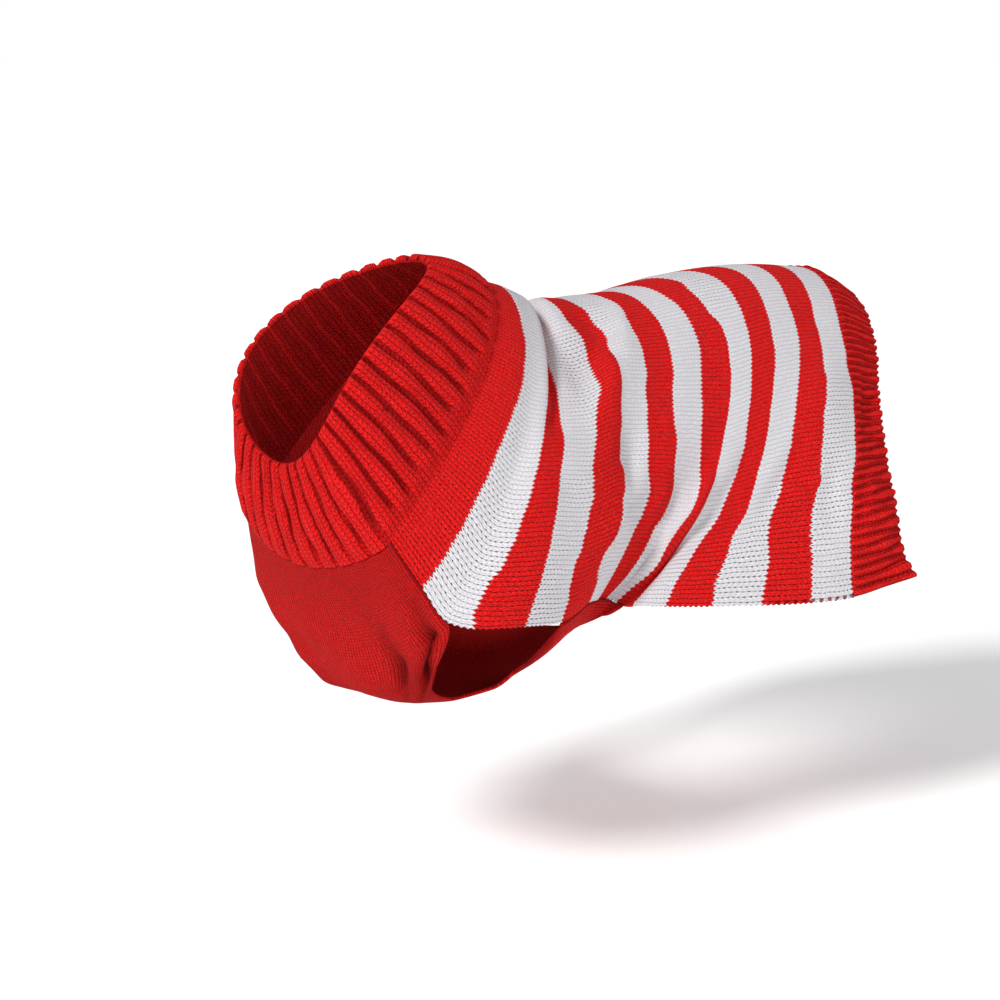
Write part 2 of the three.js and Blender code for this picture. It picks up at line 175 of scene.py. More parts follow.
# Where the knit is drawn along the body, written as the folds are, but the last value is
# how far it is drawn toward the tail. Some of the smaller ones are only in the visual.
slips = [
    (4.0, 0.1, 4.15, 0.48, 18, 14),
    (5.1, 0.04, 5.2, 0.26, 22, 7),
    (8.4, 0.68, 8.1, 0.96, 17, 8),
    (6.7, 0.36, 6.7, 0.56, 20, -5),
    (6.6, 0.64, 6.8, 0.8, 28, 8),
    (7.6, 0.66, 7.3, 1.04, 26, 9),
    (4.6, 0.8, 4.7, 0.94, 16, -8),
    (7.6, 0.1, 8.4, 0.36, 24, 4),
    (10.8, 0.3, 12.8, 0.38, 22, 4),
    (10.8, 0.76, 10.6, 1.0, 22, -7),
    (14.0, 0.4, 14.0, 0.76, 16, 9),
    (1.0, 0.18, 1.0, 0.5, 14, 4),
    (5.4, 0.72, 9.2, 0.68, 14, 5),
    (7.0, 0.92, 8.2, 0.85, 18, 4.5),
    (2.0, 0.84, 2.0, 1.0, 11, -4),
    (10.9, 0.81, 13.1, 0.79, 11, -5),
    (9.1, 0.06, 9.0, 0.24, 13, -6),
    (6.0, 0.13, 6.0, 0.24, 10, -4),
    (4.0, -0.1, 4.15, -0.5, 18, 11),
    (6.8, -0.6, 6.8, -0.8, 20, 5),
    (7.5, -0.66, 7.3, -1.04, 26, 9),
    (4.6, -0.8, 4.7, -0.94, 16, -8),
    (10.7, -0.76, 10.5, -1.0, 22, -7),
    (13.8, -0.3, 13.8, -0.6, 20, 5),
    (6.0, -0.1, 13.2, -0.1, 25, -16),
    (6.0, -0.3, 13.2, -0.3, 32, -9),
    (4.6, 0.6, 4.6, 0.72, 18, 5),
    (7.6, 0.55, 8.6, 0.72, 16, 4),
    (9.6, 0.5, 10.6, 0.86, 16, 4),
    (12.6, 0.7, 12.6, 0.74, 10, 4),
    (12.5, 0.82, 12.5, 0.9, 11, -5),
]

# Cuts across the chest piece. Seam is the stripe it is sewn to, or nan where the edge is free.
free = math.nan
chestRows = table(
    ("place", "middleY", "middleZ", "reach", "side", "seam", "edgeX", "edgeY", "edgeZ", "lean"),
    [
        (0, -225, -117, 22, 8, 0, 0, 0, 0, 0),
        (1, -208, -143, 21, 14, 0.8, 0, 0, 0, 0),
        (2, -199, -167, 26, 19, 1.5, 0, 0, 0, 0),
        (3, -190, -185, 28, 12, free, 56, -193, -158, 20),
        (4, -179, -190, 26, 10, free, 44, -185, -178, 40),
        (5, -162, -190, 20, 10, free, 40, -166, -186, 70),
        (6, -146, -188, 24, 14, free, 50, -149, -181, 60),
        (7, -130, -185, 36, 24, 4.05, 0, 0, 0, 0),
        (8, -108, -176, 34, 24, 5.5, 0, 0, 0, 0),
        (9, -88, -168, 32, 22, 8.4, 0, 0, 0, 0),
    ],
)

# The chest's own sizes
chestForm = {
    "placeLength": 12,  # length of one place along the chest
    "halfWidth": 75,  # from its middle to an edge
    "lastPlace": 9,
    "fieldLines": 301,  # each way
    "drawnFrom": 0.75,  # share across from which the cloth is drawn to the seam
}

# Folds of the chest, written as the back's are, by place and by share across. The wearer's left is -1.
chestFolds = [
    (1.55, -0.87, 3.4, -0.77, 6.5, -6.5),
    (1.6, -0.99, 3.2, -0.94, 5, 2),
    (1.3, -0.34, 2.9, -0.5, 9, -2.5),
    (1.85, -0.43, 3.2, -0.48, 4.5, -3.2),
    (0.8, 0.5, 1.9, 0.26, 9, 2),
    (1.9, 0.24, 2.6, -0.3, 8, 2),
    (2.3, 0.62, 4.0, 0.58, 26, 5.5),
    (0.6, 0.4, 2.5, -0.24, 12, 3),
    (1.6, 0.86, 3.9, 0.8, 9, -4),
    (1.5, 0.4, 3.2, 0.46, 11, -2),
]

collar = {
    "ribs": 40,
    "ribHeight": 3.8,
    "ribSunk": 0.5,
    "openingBack": (-155, 24),  # y, z
    "openingFront": (-241, -66),
    "halfWidth": 41,
    "forward": 26,
    "up": 7,
    "swell": 3,
}


# A smooth value between the rows of a table, which never overshoots them.
def between(rows, key, column, at):
    x, y = rows[key], rows[column]
    steepness = np.diff(y) / np.diff(x)
    before, after = steepness[:-1], steepness[1:]
    same = before * after > 0
    slopes = np.empty(len(x))
    slopes[0], slopes[-1] = steepness[0], steepness[-1]
    slopes[1:-1] = np.where(same, 2 * before * after / np.where(same, before + after, 1), 0)
    place = np.clip(at, x[0], x[-1])
    i = np.clip(np.searchsorted(x, place) - 1, 0, len(x) - 2)
    run = x[i + 1] - x[i]
    t = (place - x[i]) / run
    start = (2 * t**3 - 3 * t**2 + 1) * y[i] + (t**3 - 2 * t**2 + t) * run * slopes[i]
    end = (3 * t**2 - 2 * t**3) * y[i + 1] + (t**3 - t**2) * run * slopes[i + 1]
    return start + end


# Curves through four control points each, read at shares of their length.
def evenCurves(controls, shares, samples=160):
    t = np.linspace(0, 1, samples)
    weights = ((1 - t) ** 3, 3 * (1 - t) ** 2 * t, 3 * (1 - t) * t**2, t**3)
    lines = sum(w[None, :, None] * c[:, None, :] for w, c in zip(weights, controls))
    steps = np.linalg.norm(np.diff(lines, axis=1), axis=2)
    out = np.empty((len(lines), len(shares), 3))
    for i, line in enumerate(lines):
        length = np.concatenate(([0], np.cumsum(steps[i])))
        for k in range(3):
            out[i, :, k] = np.interp(shares * length[-1], length, line[:, k])
    return out


def smoothstep(value, low=0.0, high=1.0):
    t = np.clip((value - low) / (high - low), 0, 1)
    return t * t * (3 - 2 * t)


def unit(vectors):
    return vectors / np.linalg.norm(vectors, axis=-1, keepdims=True)


# Outward directions of a grid of points, whose second axis runs round the body.
def outward(points):
    return unit(np.cross(np.gradient(points, axis=1), np.gradient(points, axis=0)))


def smoothBack(stripes, acrosses):
    value = {name: between(backRows, "stripe", name, stripes) for name in backRows}
    tuck = np.radians(value["tuck"])
    middle = np.zeros_like(stripes)
    spine = np.stack([middle, value["spineY"], value["spineZ"]], 1)
    crown = np.stack([value["crown"], value["spineY"], value["spineZ"]], 1)
    edge = np.stack([value["edgeX"], value["edgeY"], value["edgeZ"]], 1)
    flankX = value["edgeX"] + value["flank"] * np.sin(tuck)
    flankZ = value["edgeZ"] + value["flank"] * np.cos(tuck)
    flank = np.stack([flankX, value["flankY"], flankZ], 1)
    points = evenCurves((spine, crown, flank, edge), np.abs(acrosses))
    points[..., 0] *= np.sign(acrosses)
    return points


# How far folds move the cloth out over a grid of places. The ends of a fold fade.
def foldHeights(rows, along, across, alongSize, acrossSize):
    x, y = np.meshgrid(along * alongSize, across * acrossSize, indexing="ij")
    height = np.zeros_like(x)
    left, fadeLength = cloth["foldEnds"]
    for fromAlong, fromAcross, toAlong, toAcross, width, rise in rows:
        startX, startY = fromAlong * alongSize, fromAcross * acrossSize
        runX, runY = toAlong * alongSize - startX, toAcross * acrossSize - startY
        share = np.clip(((x - startX) * runX + (y - startY) * runY) / (runX**2 + runY**2), 0, 1)
        distance = np.hypot(x - startX - share * runX, y - startY - share * runY)
        fade = left + (1 - left) * smoothstep(np.minimum(share, 1 - share), 0, fadeLength)
        height += rise * fade * np.exp(-((distance / width) ** 2))
    return height


# A fine grid of points and directions that any piece can read between its lines.
def makeField(along, across, points):
    return {"along": along, "across": across, "points": points, "directions": outward(points)}


def readField(field, name, along, across):
    def cell(values, at):
        lastPlace = len(values) - 1.000001  # just short of the last line
        place = np.clip((at - values[0]) / (values[1] - values[0]), 0, lastPlace)
        return place.astype(int), place - place.astype(int)

    i, s = cell(field["along"], np.asarray(along, float))
    j, t = cell(field["across"], np.asarray(across, float))
    s, t, grid = s[..., None], t[..., None], field[name]
    near = grid[i, j] * (1 - t) + grid[i, j + 1] * t
    far = grid[i + 1, j] * (1 - t) + grid[i + 1, j + 1] * t
    return near * (1 - s) + far * s


# The back piece's middle surface, with its knit drawn along it, its folds and its creases.
def makeBackField():
    alongLines, acrossLines = cloth["fieldLines"]
    along = np.linspace(0, cloth["bandEnd"], alongLines)
    across = np.linspace(-1, 1, acrossLines)
    smooth = {"along": along, "across": across, "points": smoothBack(along, across)}
    slip = foldHeights(slips, along, across, cloth["stripe"], cloth["halfRound"])
    s, a = np.meshgrid(along, across, indexing="ij")
    points = readField(smooth, "points", s + slip / cloth["stripe"], a)
    height = foldHeights(folds, along, across, cloth["stripe"], cloth["halfRound"])
    small = foldHeights(creases, along, across, cloth["stripe"], cloth["halfRound"])
    edgeFade, bandFade = cloth["creaseFade"]
    clear = smoothstep(1 - np.abs(a), 0, edgeFade) * smoothstep(cloth["bandStart"] - s, 0, bandFade)
    points += outward(points) * (height + small * clear)[..., None]
    return makeField(along, across, points)


backField = makeBackField()


# An edge of the back piece and the direction in which the cloth runs out there.
def backEdge(stripe, side):
    stripe = np.asarray(stripe, float)
    edge = readField(backField, "points", stripe, np.full_like(stripe, side))
    inside = readField(backField, "points", stripe, np.full_like(stripe, cloth["justInside"] * side))
    return edge, unit(edge - inside)


# The stripe to which the chest's edge is sewn at each place, or nan where it is free.
def seamStripes(places):
    return np.interp(places, chestRows["place"], chestRows["seam"])


# The chest piece's middle surface, sewn to the back piece's edges where its rows say so.
def makeChestField():
    rows = {"place": chestRows["place"]}
    seam = chestRows["seam"]
    sewn = ~np.isnan(seam)
    edge, run = backEdge(np.where(sewn, seam, 0), 1.0)
    lean = np.radians(chestRows["lean"])
    freeEdge = np.stack([chestRows["edgeX"], chestRows["edgeY"], chestRows["edgeZ"]], 1)
    freeRun = np.stack([-np.sin(lean), np.zeros_like(lean), -np.cos(lean)], 1)
    edge = np.where(sewn[:, None], edge, freeEdge)
    run = np.where(sewn[:, None], run, freeRun)
    middle = np.stack([np.zeros_like(lean), chestRows["middleY"], chestRows["middleZ"]], 1)
    reach = np.stack([chestRows["reach"], chestRows["middleY"], chestRows["middleZ"]], 1)
    controls = (middle, reach, edge + run * chestRows["side"][:, None], edge)
    for c, control in enumerate(controls):
        for k in range(3):
            rows[c, k] = control[:, k]
    along = np.linspace(0, chestForm["lastPlace"], chestForm["fieldLines"])
    across = np.linspace(-1, 1, chestForm["fieldLines"])
    curves = [np.stack([between(rows, "place", (c, k), along) for k in range(3)], 1) for c in range(4)]
    stripes = seamStripes(along)
    joined = ~np.isnan(stripes)
    exact, _ = backEdge(np.where(joined, stripes, 0), 1.0)
    curves[3] = np.where(joined[:, None], exact, curves[3])
    points = evenCurves(curves, np.abs(across))
    points[..., 0] *= -np.sign(across)
    height = foldHeights(chestFolds, along, across, chestForm["placeLength"], chestForm["halfWidth"])
    points += outward(points) * height[..., None]
    for side in (1.0, -1.0):
        sewnTo, _ = backEdge(np.where(joined, stripes, 0), side)
        column = 0 if side > 0 else -1
        missing = np.where(joined[:, None], sewnTo - points[:, column], 0)
        nearSide = smoothstep(-side * across, chestForm["drawnFrom"], 1)
        points += missing[:, None, :] * nearSide[None, :, None]
    return makeField(along, across, points)


chestField = makeChestField()
print("cloth fields worked out")


# A closed wall between an outer and an inner grid of points: a grid primitive, extruded and then shaped.
def addWall(name, outer, inner, knit):
    rows, columns = outer.shape[:2]
    bpy.ops.object.select_all(action="DESELECT")
    bpy.ops.mesh.primitive_grid_add(x_subdivisions=columns - 1, y_subdivisions=rows - 1, size=2)
    piece = bpy.context.object
    piece.name = piece.data.name = name
    bpy.ops.object.mode_set(mode="EDIT")
    bpy.ops.mesh.select_all(action="SELECT")
    bpy.ops.mesh.extrude_region_move(TRANSFORM_OT_translate={"value": (0, 0, -1)})
    bpy.ops.mesh.select_all(action="SELECT")
    bpy.ops.mesh.normals_make_consistent(inside=False)
    bpy.ops.object.mode_set(mode="OBJECT")
    flat = np.empty(len(piece.data.vertices) * 3)
    piece.data.vertices.foreach_get("co", flat)
    flat = flat.reshape(-1, 3)
    j = np.rint((flat[:, 0] + 1) / 2 * (columns - 1)).astype(int)
    i = np.rint((flat[:, 1] + 1) / 2 * (rows - 1)).astype(int)
    isInside = flat[:, 2] < -0.5
    places = np.where(isInside[:, None], inner[i, j], outer[i, j])
    finishWall(piece, places, knit[i, j], isInside)
    return piece


# A closed ring of cloth: a torus primitive, whose small circle becomes the wall's outer and inner side.
def addRing(name, outer, inner, knit):
    rows, columns = outer.shape[:2]
    bpy.ops.object.select_all(action="DESELECT")
    bpy.ops.mesh.primitive_torus_add(
        major_segments=columns, minor_segments=2 * rows, major_radius=1, minor_radius=0.25
    )
    piece = bpy.context.object
    piece.name = piece.data.name = name
    flat = np.empty(len(piece.data.vertices) * 3)
    piece.data.vertices.foreach_get("co", flat)
    flat = flat.reshape(-1, 3)
    turn = np.arctan2(flat[:, 1], flat[:, 0])
    j = np.rint(turn / (2 * math.pi) * columns).astype(int) % columns
    small = np.arctan2(flat[:, 2], np.hypot(flat[:, 0], flat[:, 1]) - 1)
    k = np.rint(small / (2 * math.pi) * 2 * rows).astype(int) % (2 * rows)
    isInside = k >= rows
    i = np.where(isInside, 2 * rows - 1 - k, k)
    i = rows - 1 - i
    places = np.where(isInside[:, None], inner[i, j], outer[i, j])
    finishWall(piece, places, knit[i, j], isInside)
    return piece


# Puts a piece's points in their places, and marks each with its place in the knit and its side.
def finishWall(piece, places, knit, isInside):
    mesh = piece.data
    mesh.vertices.foreach_set("co", (places * mm).astype(np.float32).ravel())
    attribute = mesh.attributes.new("knitPlace", "FLOAT_VECTOR", "POINT")
    attribute.data.foreach_set("vector", knit.astype(np.float32).ravel())
    attribute = mesh.attributes.new("wrongSide", "FLOAT", "POINT")
    attribute.data.foreach_set("value", isInside.astype(np.float32))
    mesh.update()
    piece.location = (0, 0, 0)
    bpy.ops.object.shade_smooth()


# How full the wall is at a distance from a cut edge, so that the cloth's edge is round.
def edgeRound(distance, wall):
    thinnest = 0.02
    return np.sqrt(np.clip(1 - (1 - np.clip(distance / (wall / 2), 0, 1)) ** 2, thinnest, 1))


# Even shares with a few more lines close to both ends.
def crowdedShares(count, length, closeLines=(0.25, 0.7, 1.3)):
    inside = np.linspace(0, 1, count)[1:-1]
    near = np.array(closeLines) / length
    pastLast = 1.3
    clear = near[-1] * pastLast
    inside = inside[(inside > clear) & (inside < 1 - clear)]
    return np.concatenate(([0], near, inside, 1 - near[::-1], [1]))


backPiece = {
    "samplesPerRow": 2,
    "columns": 132,
    "edgeTeeth": 0.45,  # how far each knit row stands out at the cut edge
    "teethReach": 1.2,
    "slackFrom": (0.8, 1.25),  # row heights at which the knit starts to open and is fully open
}

# Where the knit is stretched open or drawn shut: stripe, share across, reach, and how much.
openPlaces = [
    (1.6, 0.85, 38, 0.9),
    (3.6, 0.3, 22, 0.5),
    (5.5, 0.62, 20, 0.7),
    (9.6, 0.9, 26, 0.9),
    (11.4, 0.84, 30, 0.9),
    (13.4, 0.78, 32, 0.8),
    (8.2, 0.6, 40, -0.6),
    (6.8, 0.8, 36, -0.6),
    (11.5, 0.25, 50, -0.5),
    (1.6, -0.85, 38, 0.9),
    (9.8, -0.88, 28, 0.9),
    (12.6, -0.8, 34, 0.8),
    (7.2, -0.7, 45, -0.6),
]


def makeBackPanel():
    samples = cloth["bandStart"] * cloth["rowsPerStripe"] * backPiece["samplesPerRow"]
    stripes = np.linspace(0, cloth["bandStart"], samples + 1)
    width = 2 * cloth["halfRound"]
    across = crowdedShares(backPiece["columns"], width) * 2 - 1
    s, a = np.meshgrid(stripes, across, indexing="ij")
    points = readField(backField, "points", s, a)
    directions = readField(backField, "directions", s, a)
    _, leftRun = backEdge(stripes, 1.0)
    _, rightRun = backEdge(stripes, -1.0)
    toEdge = (1 - np.abs(a)) * cloth["halfRound"]
    run = np.where(a[..., None] > 0, leftRun[:, None, :], rightRun[:, None, :])
    tooth = backPiece["edgeTeeth"] * np.cos(2 * math.pi * s * cloth["rowsPerStripe"])
    points = points + run * (tooth * np.exp(-toEdge / backPiece["teethReach"]))[..., None]
    full = edgeRound(toEdge, cloth["wall"])
    half = cloth["wall"] / 2
    outer = points + directions * (half * (full - 1))[..., None]
    inner = points - directions * (half * (full + 1))[..., None]
    rowLength = np.linalg.norm(np.gradient(points, axis=0), axis=2) * backPiece["samplesPerRow"]
    nominal = cloth["stripe"] / cloth["rowsPerStripe"]
    slack = smoothstep(rowLength / nominal, *backPiece["slackFrom"])
    for place, share, reach, strength in openPlaces:
        distance = np.hypot((s - place) * cloth["stripe"], (a - share) * cloth["halfRound"])
        slack = slack + strength * np.exp(-((distance / reach) ** 2))
    knit = np.stack([a * cloth["halfRound"] / cloth["waleWidth"], s * cloth["rowsPerStripe"], slack], -1)
    return addWall("backPanel", outer, inner, knit)


hemPiece = {
    "ribs": 88,
    "perRib": 8,
    "rows": 24,
    "ribHeight": 2.2,
    "sunk": 0.4,  # share of a rib's height that lies under the cloth's surface
    "plumpness": 0.45,  # the smaller, the flatter a rib's top
    "uneven": (0.6, 0.75),  # least height of a rib, as a share, and how much more it may have
    "sway": 0.17,  # how far a rib leans at its end, in ribs
    "swayTurns": 0.5,
    "curl": 5,  # how far the two corners curl out
    "curlReach": (9, 14),  # from the side and from the end
    "scallop": 1.4,  # how far a rib's end stands out past the valley's
    "scallopReach": 5,
    "rowHeight": 2.6,
    "grownBy": 2.5,  # how far from the seam the ribs have their full height
    "endRise": (-1, 2.5),  # between which distances from the end they sink
    "walesPerRib": 2,
    "shade": 0.75,  # how dark the painted shade in the valleys is
    "gap": 0.1,
}


def makeHemRib():
    length = (cloth["bandEnd"] - cloth["bandStart"]) * cloth["stripe"]
    shares = crowdedShares(hemPiece["rows"], length)
    gap = hemPiece["gap"] / cloth["stripe"]
    stripes = cloth["bandStart"] + gap + shares * (cloth["bandEnd"] - cloth["bandStart"] - gap)
    across = np.linspace(-1, 1, hemPiece["ribs"] * hemPiece["perRib"] + 1)
    s, a = np.meshgrid(stripes, across, indexing="ij")
    points = readField(backField, "points", s, a)
    directions = readField(backField, "directions", s, a)
    alongRun = unit(np.gradient(points, axis=0))
    turn = (a + 1) / 2 * hemPiece["ribs"]
    swayPhase = (s - cloth["bandStart"]) * hemPiece["swayTurns"] + scatter(np.rint(turn), 1)
    sway = np.sin(2 * math.pi * swayPhase)
    turned = turn + hemPiece["sway"] * sway * smoothstep(s, cloth["bandStart"], cloth["bandEnd"])
    wave = 0.5 - 0.5 * np.cos(2 * math.pi * turned)
    plump = wave ** hemPiece["plumpness"]
    least, more = hemPiece["uneven"]
    uneven = least + more * scatter(np.floor(turn), 2)
    toEnd = (cloth["bandEnd"] - s) * cloth["stripe"]
    scallop = hemPiece["scallop"] * (wave - 0.5) * uneven
    points = points + alongRun * (scallop * np.exp(-toEnd / hemPiece["scallopReach"]))[..., None]
    toSide = (1 - np.abs(a)) * cloth["halfRound"]
    sideReach, endReach = hemPiece["curlReach"]
    curl = np.exp(-((toSide / sideReach) ** 2)) * np.exp(-((toEnd / endReach) ** 2))
    points = points + directions * (hemPiece["curl"] * curl)[..., None]
    fromStart = (s - cloth["bandStart"]) * cloth["stripe"]
    grown = smoothstep(fromStart, 0, hemPiece["grownBy"])
    full = np.minimum(edgeRound(toEnd, cloth["wall"]), edgeRound(toSide, cloth["wall"]))
    half = cloth["wall"] / 2
    rise = hemPiece["ribHeight"] * (plump * uneven**0.5 - hemPiece["sunk"])
    rise = rise * grown * smoothstep(toEnd, *hemPiece["endRise"])
    outer = points + directions * (half * (full - 1) + rise)[..., None]
    inner = points - directions * (half * (full + 1))[..., None]
    # How much painted shade each place in the valleys gets.
    valley = hemPiece["shade"] * (1 - plump) * grown
    wales = turned * hemPiece["walesPerRib"] + 0.5
    knit = np.stack([wales, fromStart / hemPiece["rowHeight"], valley], -1)
    return addWall("hemRib", outer, inner, knit)


chestPiece = {
    "rows": 110,
    "columns": 130,
    "span": 150,  # a usual length and width, for the lines beside its edges
    "waleWidth": 1.75,
    "rowHeight": 1.6,
    "shade": 0.85,  # how dark the painted shade in the folds' hollows is
    "hollowDepth": 6,  # depth of a hollow whose painted shade is full
    "seamLine": 1.1,  # half the width of the painted shade along a seam
}


def makeChestPanel():
    places = crowdedShares(chestPiece["rows"], chestPiece["span"]) * chestForm["lastPlace"]
    across = crowdedShares(chestPiece["columns"], chestPiece["span"]) * 2 - 1
    p, a = np.meshgrid(places, across, indexing="ij")
    points = readField(chestField, "points", p, a)
    directions = readField(chestField, "directions", p, a)
    steps = np.linalg.norm(np.diff(points, axis=1), axis=2)
    width = np.concatenate([np.zeros((len(points), 1)), np.cumsum(steps, axis=1)], 1)
    toSide = np.minimum(width, width[:, -1:] - width)
    middleSteps = np.linalg.norm(np.diff(points, axis=0), axis=2)
    length = np.concatenate([np.zeros((1, points.shape[1])), np.cumsum(middleSteps, axis=0)], 0)
    toEnd = np.minimum(length, length[-1:] - length)
    full = np.minimum(edgeRound(toSide, cloth["chestWall"]), edgeRound(toEnd, cloth["chestWall"]))
    half = cloth["chestWall"] / 2
    outer = points + directions * (half * (full - 1))[..., None]
    inner = points - directions * (half * (full + 1))[..., None]
    wales = a * chestForm["halfWidth"] / chestPiece["waleWidth"]
    rows = length[:, [points.shape[1] // 2]] / chestPiece["rowHeight"] + 0 * wales
    # Painted shade in the folds' hollows and along the sewn edges.
    height = foldHeights(chestFolds, places, across, chestForm["placeLength"], chestForm["halfWidth"])
    hollow = np.clip(-height / chestPiece["hollowDepth"], 0, 1) * chestPiece["shade"]
    sewn = ~np.isnan(seamStripes(places))[:, None]
    seamLine = np.exp(-((toSide / chestPiece["seamLine"]) ** 2)) * sewn
    knit = np.stack([wales, rows, np.maximum(hollow, seamLine)], -1)
    return addWall("chestPanel", outer, inner, knit)


collarPiece = {
    "ribPlaces": (0, 0.035, 0.075, 0.12, 0.18, 0.27, 0.38, 0.5, 0.62, 0.73, 0.82, 0.88, 0.925, 0.965),
    "rows": 46,
    "walesPerRib": 4,
    "rowHeight": 2.4,
    "length": 100,  # a usual length, for the lines and the roundness at its rim and seam
    "seamSamples": 200,
    "lastShare": 0.999,  # just inside the chest's edge
    "plateau": 0.58,  # share of a rib that is its flat top
    "domed": 0.14,  # how much lower the flat top is beside a valley
    "wander": 0.06,  # how far a valley sways, in ribs
    "swayTurns": 1.2,
    "unevenDepth": 0.18,
    "valleyEnd": (0.9, 1.0),  # where valleys close, as shares of the way down
    "closing": (0.16, 0.03),  # over which share before and after that place
    "closedBy": 0.45,  # how far they close beside the chest
    "closedWidth": 0.25,
    "bottom": 0.98,  # where a valley's flat bottom starts, 1 being its middle
    "seamFrom": 0.86,  # share of the way down from which the ribs sink to the seam
    "sinkBy": 0.6,  # how far they sink beside the chest
    "seamValley": 0.4,
    "rimRise": (-2, 4),
}


# Even but unlike values from 0 to 1 for whole numbers, the same on every run.
def scatter(numbers, kind):
    goldenStep, kindStep = 0.618034, 0.37
    return (np.asarray(numbers, float) * goldenStep + kind * kindStep) % 1


# Places round the collar's seam, by the length of the back's and then the chest's edge.
def collarSeam(rounds):
    shares = np.linspace(0, 1, collarPiece["seamSamples"])
    backLine = readField(backField, "points", np.zeros_like(shares), shares)
    chestLine = readField(chestField, "points", np.zeros_like(shares), shares - 1)
    backLength = np.linalg.norm(np.diff(backLine, axis=0), axis=1).sum()
    chestLength = np.linalg.norm(np.diff(chestLine, axis=0), axis=1).sum()
    backShare = backLength / (backLength + chestLength)
    side = np.where(rounds <= 0.5, 1, -1)
    half = 2 * np.where(rounds <= 0.5, rounds, 1 - rounds)
    onBack = half <= backShare
    backAt = side * np.clip(half / backShare, 0, 1)
    chestAt = -side * np.clip((1 - half) / (1 - backShare), 0, collarPiece["lastShare"])
    result = []
    for name in ("points", "directions"):
        fromBack = readField(backField, name, np.zeros_like(rounds), backAt)
        fromChest = readField(chestField, name, np.zeros_like(rounds), chestAt)
        result.append(np.where(onBack[:, None], fromBack, fromChest))
    return result[0], unit(result[1]), onBack


# Places round the collar's rim.
def collarOpening(rounds):
    turn = 2 * math.pi * rounds
    towardBack = 0.5 + 0.5 * np.cos(turn)
    towardSide = np.sin(turn) ** 2
    (backY, backZ), (frontY, frontZ) = collar["openingBack"], collar["openingFront"]
    y = frontY + (backY - frontY) * towardBack - collar["forward"] * towardSide
    z = frontZ + (backZ - frontZ) * towardBack + collar["up"] * towardSide
    return np.stack([collar["halfWidth"] * np.sin(turn), y, z], 1)


def makeNeckRib():
    places = np.array(collarPiece["ribPlaces"])
    rounds = (np.arange(collar["ribs"])[:, None] + places).ravel() / collar["ribs"]
    down = crowdedShares(collarPiece["rows"], collarPiece["length"])
    seam, seamDirection, onBack = collarSeam(rounds)
    start = collarOpening(rounds)
    d = down[:, None, None]
    points = start[None] * (1 - d) + seam[None] * d
    points = points + seamDirection[None] * collar["swell"] * np.sin(math.pi * d)
    wholeRound = np.concatenate([points[:, -1:], points, points[:, :1]], 1)
    own = outward(wholeRound)[:, 1:-1]
    directions = unit(own * (1 - d**4) + seamDirection[None] * d**4)
    turn = (rounds * collar["ribs"])[None]
    valley = np.rint(turn) % collar["ribs"]
    sway = np.sin(2 * math.pi * (down[:, None] * collarPiece["swayTurns"] + scatter(valley, 1)))
    turned = turn + collarPiece["wander"] * sway * np.sin(math.pi * down)[:, None]
    offRidge = np.abs((turned + 0.5) % 1 - 0.5)
    offRidge = 1 - 2 * offRidge  # 0 on a rib's middle, 1 in the valley
    closesFrom, closesTo = collarPiece["valleyEnd"]
    closesAt = closesFrom + (closesTo - closesFrom) * scatter(valley, 2)
    before, after = collarPiece["closing"]
    closed = smoothstep(down[:, None], closesAt - before, closesAt + after)
    isOpen = 1 - closed * np.where(onBack, 1, collarPiece["closedBy"])[None]
    width = collarPiece["plateau"] + (1 - isOpen) * collarPiece["closedWidth"]
    depth = (1 - collarPiece["unevenDepth"] * scatter(valley, 3)) * isOpen
    groove = smoothstep(offRidge, width, collarPiece["bottom"]) * depth
    dome = 1 - collarPiece["domed"] * offRidge**2
    length = np.linalg.norm(seam - start, axis=1)
    rise = collar["ribHeight"] * ((dome - groove) - collar["ribSunk"])
    nearSeam = smoothstep(down, collarPiece["seamFrom"], 1.0)[:, None]
    nearSeam = nearSeam * np.where(onBack, 1, collarPiece["sinkBy"])[None]
    rise = rise * (1 - nearSeam) - collar["ribHeight"] * collarPiece["seamValley"] * groove * nearSeam
    fromRim = down * collarPiece["length"]
    rise = rise * smoothstep(fromRim, *collarPiece["rimRise"])[:, None]
    full = edgeRound(fromRim, cloth["wall"])[:, None]
    half = cloth["wall"] / 2
    outer = points + directions * (half * (full - 1) + rise)[..., None]
    inner = points - directions * (half * (full + 1))[..., None]
    wales = turned * collarPiece["walesPerRib"] + 0.5
    rows = down[:, None] * length.mean() / collarPiece["rowHeight"] + 0 * turned
    # The groove also sets the painted shade in the ribs' valleys.
    knit = np.stack([wales, rows, groove], -1)
    return addRing("neckRib", outer, inner, knit)


# Materials
# Yarn colours. The deep red and white are painted shade in the knit's low stitches and grooves, and the
# deep red is also the edge stitches' thread. The hole colours are painted shade.
yarn = {
    "red": (0.90, 0.011, 0.012, 1),
    "redFuzz": (0.96, 0.045, 0.04, 1),
    "redShadeAndThread": (0.20, 0.001, 0.0012, 1),
    "redPaintedShade": (0.06, 0.0, 0.0, 1),
    "white": (0.88, 0.85, 0.875, 1),
    "whitePaintedShade": (0.56, 0.55, 0.60, 1),
    "hole": (0.10, 0.09, 0.10, 1),
}

# One knit stitch. Pairs are a factor and what is added, unless a note says otherwise.
stitchForm = {
    "wander": (0.55, 0.9, 0),  # how far stitches wander, in wales and rows
    "wanderScale": 0.33,
    "walePower": 0.5,
    "crease": (-120, -0.3),  # how narrow the line in a wale's middle is, and how deep
    "rowPower": 0.6,
    "unlike": (0.35, 0.72),  # heights of single stitches
    "fibre": (0.5, -0.25),
    "fibreScale": 3.0,
    "holeSize": (0.2, 0.24),  # in wales and rows
    "holeUnlike": (0.9, 0.35),
    "patchScale": 0.09,
}
